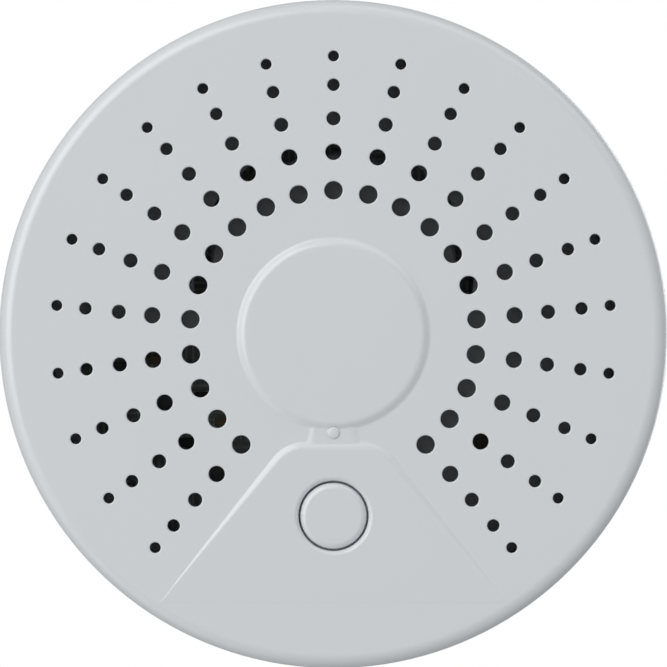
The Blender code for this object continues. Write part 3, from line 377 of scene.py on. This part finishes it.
coverTone = (0.785, 0.815, 0.838)
finishes = {
    "cover": grainFinish("coverPlastic", coverTone, 0.3, tone=0.02, drift=0.08, specular=1.0),
    "button": grainFinish("buttonPlastic", coverTone, 0.3, tone=0.02, drift=0.08, specular=1.0),
    "rear": grainFinish("rearPlastic", (0.77, 0.80, 0.82), 0.5, tone=0.03, scale=2200.0, bump=0.01),
    "door": grainFinish("doorPlastic", (0.77, 0.80, 0.82), 0.47, tone=0.03, scale=2200.0, bump=0.01),
    "bracket": grainFinish("bracketPlastic", (0.75, 0.78, 0.80), 0.5, tone=0.03, scale=2000.0, bump=0.012),
    "lightPipe": grainFinish("lightPipePlastic", (0.78, 0.81, 0.835), 0.24, tone=0.01, drift=0.03),
    # painted light: the baffle is a mid grey instead of black, standing in for the faint light seen down the
    # vents
    "baffle": grainFinish("bafflePaintedLight", (0.235, 0.25, 0.26), 0.6, tone=0.2, scale=2500.0, bump=0.01),
    # the dark colour of the chips and coil; on the capacitor can, whose top is silver, it is painted shade
    # for the dark inside the vents
    "darkCeramicAndShade": grainFinish("darkCeramicAndShade", (0.12, 0.125, 0.13), 0.4, tone=0.2),
    # painted shade: the piezo's bronze is much darker than brass, to read as the dark seen through the vent
    # above it
    "shadedBronze": grainFinish("piezoShadedBronze", (0.34, 0.3, 0.24), 0.5, 0.6, 0.15, 0.1),
    "black": grainFinish("blackPlastic", (0.2, 0.213, 0.222), 0.55, tone=0.25, scale=2500.0, bump=0.01),
    "steel": grainFinish("screwSteel", (0.56, 0.56, 0.58), 0.3, 1.0, 0.12, 0.2, 5000.0, 0.003),
    "pin": grainFinish("pinSteel", (0.5, 0.5, 0.52), 0.25, 1.0, 0.1, 0.2, 4000.0, 0.003, (1, 1, 0.05)),
    "nickel": grainFinish("contactNickel", (0.62, 0.6, 0.56), 0.28, 1.0, 0.1, 0.18, 3500.0, 0.004),
    # painted light: the board's mask and traces are far lighter than a real board's, standing in for light
    # that hardly reaches it deep inside
    "board": groupFinish("boardLaminatePaintedLight", boardTraces, {
        "Scale": 900.0, "Mask": (0.45, 0.52, 0.5, 1), "Trace": (0.66, 0.72, 0.69, 1)}),
    "module": groupFinish("moduleLaminate", boardTraces, {
        "Scale": 1500.0, "Mask": (0.06, 0.09, 0.13, 1), "Trace": (0.1, 0.15, 0.2, 1)}),
    "cellUp": groupFinish("cellUpJacket", jacketBands, {"Middle": 0.0, "Share": 0.008}, 0.25, 0.003),
    "cellDown": groupFinish("cellDownJacket", jacketBands, {
        "Middle": 0.0, "Share": -0.008, "First": (0.4, 0.24, 0.1, 1),
        "Second": (0.05, 0.05, 0.055, 1)}, 0.25, 0.003),
    "can": grainFinish("shieldSteel", (0.6, 0.6, 0.59), 0.32, 1.0, 0.08, 0.16, 2600.0, 0.004),
    "mesh": grainFinish("screenSteel", (0.4, 0.4, 0.39), 0.4, 1.0, 0.3, 0.2, 6000.0, 0.02),
    "resistor": grainFinish("resistorFilm", (0.03, 0.03, 0.032), 0.35, 0.0, 0.2, 0.15),
    "ceramic": grainFinish("capacitorCeramic", (0.42, 0.31, 0.2), 0.45, 0.0, 0.12, 0.15),
    "led": grainFinish("ledPackage", (0.8, 0.8, 0.74), 0.25, 0.0, 0.05, 0.1),
    "emitter": grainFinish("emitterResin", (0.35, 0.38, 0.5), 0.12, 0.0, 0.04, 0.05),
    "detector": grainFinish("photodiodeResin", (0.03, 0.02, 0.025), 0.12, 0.0, 0.1, 0.05),
    "plunger": grainFinish("plungerPlastic", (0.05, 0.052, 0.055), 0.4, 0.0, 0.15, 0.1, 2600.0, 0.006),
}
print("finishes ready")


# Front cover

cover = {
    "radius": 53.5, "face": 34.0, "rim": 2.4, "wall": 2.0, "seam": 13.0, "seamEdge": 0.3, "sides": 160,
    "ceilingEdge": 0.6, "seamRound": 0.08, "faceRing": 33, "rimSteps": 12,
    "discFoot": 15.6, "discStep": 1.9, "discRise": 0.66, "discSteepest": 0.38, "discSteps": 14,
    "bossCircle": 47.8, "bossRadius": 2.4, "bossAngles": (90, 210, 330),
    "bossTop": 33, "bossEdge": 13.4, "bossEnd": 13.1, "bossChamfer": 0.3, "bossSides": 32,
}


def coverShell():
    edge = cover["radius"]
    bore = edge - cover["wall"]
    ceiling = cover["face"] - cover["wall"]
    shoulder = (edge - cover["rim"], cover["face"] - cover["rim"])
    profile = [
        (bore - cover["ceilingEdge"], ceiling), (bore, ceiling - cover["ceilingEdge"]), (bore, cover["seam"]),
        (edge - cover["seamEdge"], cover["seam"]),
        (edge - cover["seamRound"], cover["seam"] + cover["seamRound"]),
        (edge, cover["seam"] + cover["seamEdge"]),
    ]
    profile += arcPoints(shoulder, cover["rim"], 0, 90, cover["rimSteps"])
    profile.append((cover["faceRing"], cover["face"]))
    disc = stepCurve(cover["discStep"], cover["discRise"], cover["discSteepest"], cover["discSteps"])
    for run, height in disc:
        profile.append((cover["discFoot"] - run, cover["face"] + height))
    return lathe("frontCover", profile, cover["sides"])


wedge = {
    "crestApex": 10.36, "crestTop": 18.6, "halfAngle": 40.2, "corner": 5.4, "slope": 1.55, "rise": 0.44,
    "steepest": 0.38, "levelDrop": 44.5, "end": 42.85, "steps": 12, "narrowing": 0.72, "root": 1.4,
    "topSteps": 4, "cornerSteps": 12, "sideSteps": 24,
}
wedgeTilt = math.degrees(math.atan(wedge["rise"] / (wedge["levelDrop"] - wedge["crestTop"])))


def crestPath():
    # the right half of the panel's crest: (x, y, outward x, outward y), from the middle of its top down
    half = math.radians(wedge["halfAngle"])
    radius = wedge["corner"]
    middleY = -wedge["crestTop"] - radius
    middleX = (-wedge["crestApex"] - middleY) * math.tan(half) - radius / math.cos(half)
    found = [(middleX * i / wedge["topSteps"], -wedge["crestTop"], 0, 1) for i in range(wedge["topSteps"])]
    for i in range(wedge["cornerSteps"] + 1):
        turn = math.radians(90) - (math.radians(90) - half) * i / wedge["cornerSteps"]
        found.append((middleX + radius * math.cos(turn), middleY + radius * math.sin(turn),
                      math.cos(turn), math.sin(turn)))
    x, y = found[-1][:2]
    length = (y + wedge["end"]) / math.cos(half)
    for i in range(1, wedge["sideSteps"] + 1):
        run = length * i / wedge["sideSteps"]
        found.append((x + run * math.sin(half), y - run * math.cos(half), math.cos(half), math.sin(half)))
    return found


def wedgePanel():
    # a closed solid laid along the crest, whose step gets lower and narrower towards the rim
    face = cover["face"]
    curve = stepCurve(wedge["slope"], wedge["rise"], wedge["steepest"], wedge["steps"])
    right = crestPath()
    path = [(-x, y, -outX, outY) for x, y, outX, outY in reversed(right[1:])] + right
    corners = []
    for x, y, outX, outY in path:
        share = (wedge["levelDrop"] + y) / (wedge["levelDrop"] - wedge["crestTop"])
        level = face + wedge["rise"] * share
        for run, height in curve:
            out = (wedge["slope"] - run) * share ** wedge["narrowing"]
            drop = (wedge["rise"] - height) * share
            corners.append([(x + outX * out) * mm, (y + outY * out) * mm, (level - drop) * mm])
        corners.append([corners[-len(curve)][0], corners[-len(curve)][1], (face - wedge["root"]) * mm])
    ring = len(curve) + 1
    faces = []
    for i in range(len(path) - 1):
        for j in range(len(curve) - 1):
            start = i * ring + j
            faces.append((start, start + 1, start + ring + 1, start + ring))
        start = i * ring
        faces.append((start, start + ring, start + 2 * ring - 1, start + ring - 1))
    last = len(path) - 1
    faces.append([i * ring + len(curve) - 1 for i in range(len(path))])
    faces.append([i * ring + ring - 1 for i in reversed(range(len(path)))])
    faces.append([j for j in range(len(curve))] + [last * ring + j for j in reversed(range(len(curve)))]
                 + [last * ring + ring - 1, ring - 1])
    mesh = bpy.data.meshes.new("wedgePanel")
    mesh.from_pydata(corners, [], faces)
    panel = bpy.data.objects.new("wedgePanel", mesh)
    bpy.context.scene.collection.objects.link(panel)
    outward(panel)
    return panel


neck = {
    "halfWidth": 4.2, "slope": 1.5, "rise": 0.19, "steepest": 0.45, "steps": 8,
    "from": -13.6, "to": -19.4, "flareFrom": -15.4, "flare": 2.8, "flareCurve": 2.2,
    "rows": 20, "sink": 0.01, "depth": 1.0, "lift": 5,
}


def neckPanel():
    # a sheet whose columns follow the soft side steps; its rows flare into the wedge panel
    curve = stepCurve(neck["slope"], neck["rise"], neck["steepest"], neck["steps"])
    columns = [(run - neck["halfWidth"], height) for run, height in curve]
    columns += [(-x, height) for x, height in reversed(columns)]
    length = neck["from"] - neck["to"]
    bpy.ops.object.select_all(action="DESELECT")
    bpy.ops.mesh.primitive_grid_add(
        x_subdivisions=len(columns) - 1, y_subdivisions=neck["rows"], size=length * mm)
    bridge = bpy.context.object
    bridge.name = "neckPanel"
    place(bridge, at=(0, (neck["from"] + neck["to"]) / 2, cover["face"] - neck["sink"]))
    spacing = length / (len(columns) - 1)
    for i in range(len(columns)):
        start = i * spacing - length / 2
        x, height = columns[i]
        # a column that has been moved is lifted as well, so that it isn't met twice
        choosePoints(bridge, lambda spot: abs(spot.x - start) < 0.01 and spot.z < cover["face"])
        bpy.ops.transform.translate(value=((x - start) * mm, 0, (height + neck["lift"]) * mm))
    bpy.ops.mesh.select_all(action="SELECT")
    bpy.ops.transform.translate(value=(0, 0, -neck["lift"] * mm))
    for row in range(neck["rows"] + 1):
        level = neck["from"] - length * row / neck["rows"]
        spread = (neck["flareFrom"] - level) / (neck["flareFrom"] - neck["to"])
        if spread > 0:
            choosePoints(bridge, lambda spot: abs(spot.y - level) < 0.01)
            grow = 1 + neck["flare"] * spread ** neck["flareCurve"] / neck["halfWidth"]
            bpy.ops.transform.resize(value=(grow, 1, 1), center_override=(0, 0, 0))
    bpy.ops.mesh.select_mode(type="FACE")
    bpy.ops.mesh.select_all(action="SELECT")
    bpy.ops.mesh.extrude_region_move(TRANSFORM_OT_translate={"value": (0, 0, -neck["depth"] * mm)})
    bpy.ops.object.mode_set(mode="OBJECT")
    outward(bridge)
    return bridge


vents = {
    "rings": ((22.98, 2.95), (29.11, 2.6), (34.48, 2.25), (39.85, 2.0), (44.44, 1.75)),
    "rays": 10, "step": 14.014, "edge": 0.16, "edgeMiddle": 0.29, "sides": 28, "reach": 1,
}


def cutVents(shell):
    face = cover["face"]
    for ring, bore in vents["rings"]:
        radius = bore / 2
        edge = vents["edge"]
        middle = edge * vents["edgeMiddle"]
        profile = [
            (radius, face - cover["wall"] - vents["reach"]), (radius, face - edge),
            (radius + middle, face - middle), (radius + edge, face), (radius + edge, face + vents["reach"])]
        punch = lathe("ventPunch", profile, vents["sides"])
        place(punch, at=(0, ring, 0))
        place(punch, turn=(0, 0, vents["rays"] * vents["step"]))
        pick(punch)
        bpy.ops.object.mode_set(mode="EDIT")
        bpy.ops.mesh.select_all(action="SELECT")
        bpy.ops.mesh.spin(
            steps=2 * vents["rays"], dupli=True, angle=math.radians(2 * vents["rays"] * vents["step"]),
            center=(0, 0, 0), axis=(0, 0, 1))
        bpy.ops.object.mode_set(mode="OBJECT")
        combine(shell, punch)


button = {
    "drop": 29.05, "radius": 5.3, "edge": 1.0, "edgeSteps": 10, "sides": 72,
    "hole": 5.6, "holeEdge": 0.8, "holeSteps": 8, "holeFrom": -6.0, "holeTo": 1.5,
    "flange": 6.4, "flangeTop": -2.6, "flangeThickness": 0.8, "stem": 1.8, "stemEnd": -8.5,
}
buttonFace = cover["face"] + math.tan(math.radians(wedgeTilt)) * (wedge["levelDrop"] - button["drop"])


def frontCover():
    shell = coverShell()
    combine(shell, wedgePanel(), "UNION")
    combine(shell, neckPanel(), "UNION")
    cutVents(shell)
    hole = button["hole"]
    edge = button["holeEdge"]
    profile = [(hole, button["holeFrom"])] + [
        (hole + edge - x, y - edge) for x, y in arcPoints((0, 0), edge, 0, 90, button["holeSteps"])]
    profile.append((hole + edge, button["holeTo"]))
    punch = lathe("buttonPunch", profile, button["sides"])
    place(punch, turn=(wedgeTilt, 0, 0))
    combine(shell, place(punch, at=(0, -button["drop"], buttonFace)))
    punch = lathe("lightPunch", [
        (light["hole"], light["holeFrom"]), (light["hole"], light["holeTo"])], light["sides"])
    combine(shell, place(punch, at=(0, -light["drop"], 0)))
    for angle in cover["bossAngles"]:
        x, y = onCircle(cover["bossCircle"], angle)
        boss = lathe("coverBoss", [
            (cover["bossRadius"], cover["bossTop"]), (cover["bossRadius"], cover["bossEdge"]),
            (cover["bossRadius"] - cover["bossChamfer"], cover["bossEnd"])], cover["bossSides"])
        combine(shell, place(boss, at=(x, y, 0)), "UNION")
    complete(shell, "detector", finishes["cover"], "cover_plastic", "front_cover")


light = {
    "drop": 15.75, "radius": 1.0, "top": 34.52, "bottom": 21.0, "shoulder": 34.23, "steps": 9, "sides": 40,
    "hole": 1.01, "holeFrom": 30, "holeTo": 36,
}


def lightPipe():
    rise = light["top"] - light["shoulder"]
    profile = [(light["radius"], light["bottom"])]
    for i in range(light["steps"]):
        turn = math.radians(90 * i / light["steps"])
        profile.append((light["radius"] * math.cos(turn), light["shoulder"] + rise * math.sin(turn)))
    pipe = lathe("lightPipe", profile, light["sides"])
    place(pipe, at=(0, -light["drop"], 0))
    complete(pipe, "detector", finishes["lightPipe"], "light_pipe_plastic", "light_pipe")


def testButton():
    low = button["flangeTop"] - button["flangeThickness"]
    edge = button["edge"]
    profile = [
        (button["stem"], button["stemEnd"]), (button["stem"], low), (button["flange"], low),
        (button["flange"], button["flangeTop"]), (button["radius"], button["flangeTop"])]
    for x, y in arcPoints((0, 0), edge, 0, 90, button["edgeSteps"]):
        profile.append((x + button["radius"] - edge, y - edge))
    cap = lathe("testButton", profile, button["sides"])
    place(cap, turn=(wedgeTilt, 0, 0))
    place(cap, at=(0, -button["drop"], buttonFace))
    complete(cap, "button", finishes["button"], "button_plastic", "test_button")


frontCover()
print("front cover done")
lightPipe()
testButton()
print("button and light done")

# The back: pieces that start from the frame's own shape and get their edges and small features


def fineCopy(source, name, width, segments=2, angle=34):
    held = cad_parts[source]
    piece = held.copy()
    piece.data = held.data.copy()
    piece.name = name
    bpy.context.scene.collection.objects.link(piece)
    piece.parent = None
    piece.matrix_world = held.matrix_world.copy()
    place(piece, at=piece.location / mm, turn=[math.degrees(value) for value in piece.rotation_euler])
    bpy.ops.object.mode_set(mode="EDIT")
    bpy.ops.mesh.select_all(action="SELECT")
    bpy.ops.mesh.remove_doubles(threshold=0.002 * mm)
    bpy.ops.mesh.dissolve_limited(angle_limit=math.radians(1))
    bpy.ops.object.mode_set(mode="OBJECT")
    roundEdges(piece, width, segments, angle)
    return piece


def finishCopy(piece, body, finish, slotName, *nodes):
    place(piece, turn=(-90, 0, 0))
    complete(piece, body, finishes[finish], slotName, *nodes)


def upright(obj):
    return place(obj, turn=(90, 0, 0))


ejector = {"taper": 0.1, "sides": 24}

rear = {
    "edge": 0.22, "back": 3.3, "markRadius": 1.6, "markDepth": 0.16,
    "marks": ((24, 22), (-24, 22), (-25, -20), (25, -20)),
    "label": (-30.0, -6.5, -20.5, 6.5), "labelDepth": 0.25, "labelEdge": 1.0,
}


def rearHousing():
    piece = fineCopy("rear_housing", "rearHousing", rear["edge"])
    back = rear["back"]
    for x, y in rear["marks"]:
        # round ejector marks of the mould
        mark = lathe("mark", [
            (rear["markRadius"] - ejector["taper"], back + rear["markDepth"]),
            (rear["markRadius"], back - cutReach)], ejector["sides"])
        combine(piece, upright(place(mark, at=(x, y, 0))))
    # a plain sunken field for a sticker
    lowX, lowY, highX, highY = rear["label"]
    field = slab("field", (lowX, lowY, back - cutReach), (highX, highY, back + rear["labelDepth"]))
    roundEdges(field, rear["labelEdge"], 4)
    combine(piece, upright(field))
    finishCopy(piece, "detector", "rear", "rear_plastic", "rear_housing")


door = {
    "edge": 0.25, "outer": 3.3, "ridges": 5, "ridgePitch": 1.3, "ridgeWidth": 0.6, "ridgeRise": 0.3,
    "ridgeHalf": 5.5, "ridgeTaper": 0.7, "ridgeStart": 5.4, "ridgeRoot": 0.6, "ridgeEdge": 0.18,
}


def batteryDoor():
    piece = fineCopy("battery_door", "batteryDoor", door["edge"])
    outer = door["outer"]
    for i in range(door["ridges"]):
        x = door["ridgeStart"] + i * door["ridgePitch"]
        half = door["ridgeHalf"] - abs(i - door["ridges"] // 2) * door["ridgeTaper"]
        ridge = slab("ridge", (x, -half, outer - door["ridgeRise"]),
                     (x + door["ridgeWidth"], half, outer + door["ridgeRoot"]))
        roundEdges(ridge, door["ridgeEdge"])
        combine(piece, upright(ridge), "UNION")
    finishCopy(piece, "door", "door", "door_plastic", "battery_door")


bracket = {
    "edge": 0.3, "marks": (20, 80, 100, 200, 260, 340), "markCircle": 39.2, "markRadius": 1.4,
    "markDepth": 0.15,
}


def mountingBracket():
    piece = fineCopy("mounting_bracket", "mountingBracket", bracket["edge"])
    for angle in bracket["marks"]:
        # shallow ejector marks on its wall side
        x, y = onCircle(bracket["markCircle"], angle)
        mark = lathe("mark", [
            (bracket["markRadius"], -cutReach),
            (bracket["markRadius"] - ejector["taper"], bracket["markDepth"])], ejector["sides"])
        combine(piece, upright(place(mark, at=(x, y, 0))))
    finishCopy(piece, "bracket", "bracket", "bracket_plastic", "mounting_bracket")


screw = {"edge": 0.16, "edgeAngle": 50, "width": 0.5, "length": 2.3, "depth": 0.8, "reach": 1.0, "turn": 20}


def housingScrew(i):
    name = "housing_screw_" + str(i)
    piece = fineCopy(name, "housingScrew" + str(i), screw["edge"], angle=screw["edgeAngle"])
    low, high = extent(piece)
    x = (low[0] + high[0]) / 2
    z = (low[2] + high[2]) / 2
    for turn in (0, 90):
        # the cross recess in its head, which looks at the wall
        arm = slab("arm", (-screw["length"] / 2, -screw["depth"], -screw["width"] / 2),
                   (screw["length"] / 2, screw["reach"], screw["width"] / 2))
        place(arm, turn=(0, turn + screw["turn"] * i, 0))
        combine(piece, place(arm, at=(x, high[1], z)))
    finishCopy(piece, "detector", "steel", "screw_steel", name)


cell = {
    "clearance": 0.02, "capRise": 0.8, "capRadius": 1.7, "capFoot": 1.9, "capLimit": 2.5, "sides": 64,
    "dish": 2.6, "dishDepth": 0.35, "dishEdge": 3.1, "groove": (2.9, 2.7, 2.1), "grooveDepth": 0.22,
    # how far in and how high the rolled edges lie, from the end face to the side
    "lowEdge": ((0.7, 0.0), (0.25, 0.12), (0.02, 0.4), (0.0, 0.7)),
    "highEdge": ((0.0, 0.7), (0.02, 0.4), (0.3, 0.1), (0.75, 0.0)),
}


def cellCapUp(held, low, high):
    # true when the cell's small cap is at its upper end
    middle = (low[0] + high[0]) / 2
    reach = 0.0
    for point in held.data.vertices:
        spot = held.matrix_world @ point.co / mm
        if spot.z > high[2] - 0.01:
            reach = max(reach, abs(spot.x - middle))
    return reach < cell["capLimit"]


def battery(i):
    # rolled can with a crimped shoulder and a stepped cap
    name = "battery_" + str(i)
    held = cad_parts[name]
    low, high = extent(held)
    radius = (high[0] - low[0]) / 2 - cell["clearance"]
    length = high[2] - low[2]
    mouth = length - cell["capRise"]
    ring, grooveOut, grooveIn = cell["groove"]
    profile = [(cell["dish"], cell["dishDepth"]), (cell["dishEdge"], 0.0)]
    profile += [(radius - inward, height) for inward, height in cell["lowEdge"]]
    profile += [(radius - inward, mouth - depth) for inward, depth in cell["highEdge"]]
    profile += [
        (ring, mouth), (grooveOut, mouth - cell["grooveDepth"]), (grooveIn, mouth - cell["grooveDepth"]),
        (cell["capFoot"], mouth), (cell["capFoot"] - 0.02, length - 0.2), (cell["capRadius"], length)]
    capUp = cellCapUp(held, low, high)
    made = lathe("battery" + str(i), profile, cell["sides"])
    if not capUp:
        place(made, turn=(180, 0, 0))
        place(made, at=(0, 0, length))
    place(made, at=((low[0] + high[0]) / 2, (low[1] + high[1]) / 2, low[2]))
    place(made, turn=(-90, 0, 0))
    complete(made, "detector", finishes["cellUp" if capUp else "cellDown"], "cell_jacket", name)


rearHousing()
batteryDoor()
mountingBracket()
print("back pieces done")
for i in (1, 2, 3):
    housingScrew(i)
for i in (1, 2):
    battery(i)
print("screws and cells done")

# Nodes that keep their own shape

nodeFinishes = {
    "baffle": ("light_baffle",),
    # capacitor_can takes this dark finish as painted shade
    "darkCeramicAndShade": ("crystal", "capacitor_can", "microcontroller", "inductor"),
    "shadedBronze": ("piezo_disc",),
    "black": ("siren_housing", "chamber_base", "chamber_lid", "switch_body"),
    "steel": ("board_screw_1", "board_screw_2", "board_screw_3"),
    "pin": ("hinge_pin",),
    "board": ("main_board",),
    "module": ("wireless_module",),
    "can": ("shield_can",),
    "mesh": ("insect_screen",),
    "resistor": ("resistor_1", "resistor_2", "resistor_3", "resistor_4"),
    "ceramic": ("capacitor_1", "capacitor_2", "capacitor_3"),
    "led": ("status_led",),
    "emitter": ("infrared_emitter",),
    "detector": ("photodiode",),
    "plunger": ("switch_plunger",),
    "nickel": ("plate_contact_1", "plate_contact_2", "spring_contact_1", "spring_contact_2"),
}
for finish, names in nodeFinishes.items():
    for name in names:
        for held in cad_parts[name].material_slots:
            held.material = finishes[finish]

# Stage

stage = {
    "floor": -70.0, "lens": 300.0, "sensor": 36.0, "eyeRise": 0.1,
    "fill": 1.0017391,  # the widest edge against half the width of the view
    # where the floor's glow starts and is full, in metres from its middle, and its least share
    "glow": (0.05, 0.24, 0.35),
}


def buildFloor():
    bpy.ops.object.select_all(action="DESELECT")
    bpy.ops.mesh.primitive_plane_add(size=6.0, location=(0, 0, stage["floor"] * mm))
    floor = bpy.context.object
    floor.name = "floor"
    material, tree, shader = newFinish("floorPaint")
    out = tree.nodes["Material Output"]
    spot = tree.nodes.new("ShaderNodeTexCoord").outputs["Object"]
    length = tree.nodes.new("ShaderNodeVectorMath")
    length.operation = "LENGTH"
    tree.links.new(spot, length.inputs[0])
    shader.inputs["Base Color"].default_value = (0.9, 0.9, 0.9, 1)
    shader.inputs["Roughness"].default_value = 0.9
    glow = tree.nodes.new("ShaderNodeEmission")
    glow.inputs["Strength"].default_value = 1.0
    mixer = tree.nodes.new("ShaderNodeMixShader")
    near, far, least = stage["glow"]
    tree.links.new(ramp(tree, length.outputs["Value"], near, far, least, 1.0), mixer.inputs[0])
    tree.links.new(shader.outputs[0], mixer.inputs[1])
    tree.links.new(glow.outputs[0], mixer.inputs[2])
    tree.links.new(mixer.outputs[0], out.inputs["Surface"])
    floor.data.materials.append(material)
    floor.visible_diffuse = False
    floor.visible_glossy = False
    floor.visible_shadow = False


studio = {
    "ambient": 0.336,
    # each softbox: azimuth clockwise from straight up, angle off the detector's axis, width, height, power
    "keyLight": (302.0, 43.0, 2.7, 1.6, 27.6),
    "topLight": (30.0, 66.0, 2.4, 1.2, 8.5),
    "leftLight": (228.0, 62.0, 2.4, 1.2, 5.5),
    "fillLight": (125.0, 70.0, 2.4, 1.4, 2.6),
    "backLight": (75.0, 140.0, 1.6, 1.2, 13.0),
    "distance": 2.2,
}


def softbox(name):
    azimuth, offAxis, width, height, power = studio[name]
    lamp = bpy.data.lights.new(name, "AREA")
    lamp.shape = "RECTANGLE"
    lamp.size = width
    lamp.size_y = height
    lamp.energy = power
    lamp.color = (1.0, 0.99, 0.975)
    holder = bpy.data.objects.new(name, lamp)
    bpy.context.scene.collection.objects.link(holder)
    tilt = math.radians(offAxis)
    side = math.radians(azimuth)
    way = Vector((math.sin(tilt) * math.sin(side), -math.cos(tilt), math.sin(tilt) * math.cos(side)))
    along = way.cross(Vector((0, -1, 0))).normalized()
    axes = Matrix((along, way.cross(along), way)).transposed().to_4x4()
    axes.translation = way * studio["distance"]
    holder.matrix_world = axes


def buildLights():
    world = bpy.data.worlds.new("studio")
    bpy.context.scene.world = world
    world.use_nodes = True
    tree = world.node_tree
    ground = tree.nodes["Background"]
    ground.inputs["Color"].default_value = (0.97, 0.985, 1.0, 1)
    ground.inputs["Strength"].default_value = studio["ambient"]
    white = tree.nodes.new("ShaderNodeBackground")
    white.inputs["Color"].default_value = (1, 1, 1, 1)
    white.inputs["Strength"].default_value = 1.0
    path = tree.nodes.new("ShaderNodeLightPath")
    mixer = tree.nodes.new("ShaderNodeMixShader")
    tree.links.new(path.outputs["Is Camera Ray"], mixer.inputs[0])
    tree.links.new(ground.outputs[0], mixer.inputs[1])
    tree.links.new(white.outputs[0], mixer.inputs[2])
    tree.links.new(mixer.outputs[0], tree.nodes["World Output"].inputs["Surface"])
    for name in ("keyLight", "topLight", "leftLight", "fillLight", "backLight"):
        softbox(name)
    bpy.context.scene.view_settings.view_transform = "Standard"


def buildCamera():
    lens = bpy.data.cameras.new("camera")
    lens.lens = stage["lens"]
    lens.sensor_width = stage["sensor"]
    lens.clip_end = 20
    eye = bpy.data.objects.new("camera", lens)
    bpy.context.scene.collection.objects.link(eye)
    widest = cover["face"] - cover["rim"]
    distance = cover["radius"] / stage["fill"] * stage["lens"] / (stage["sensor"] / 2)
    eye.location = (0, -(widest + distance) * mm, stage["eyeRise"] * mm)
    eye.rotation_euler = (math.radians(90), 0, 0)
    bpy.context.scene.camera = eye


buildFloor()
buildLights()
buildCamera()
print("stage done")
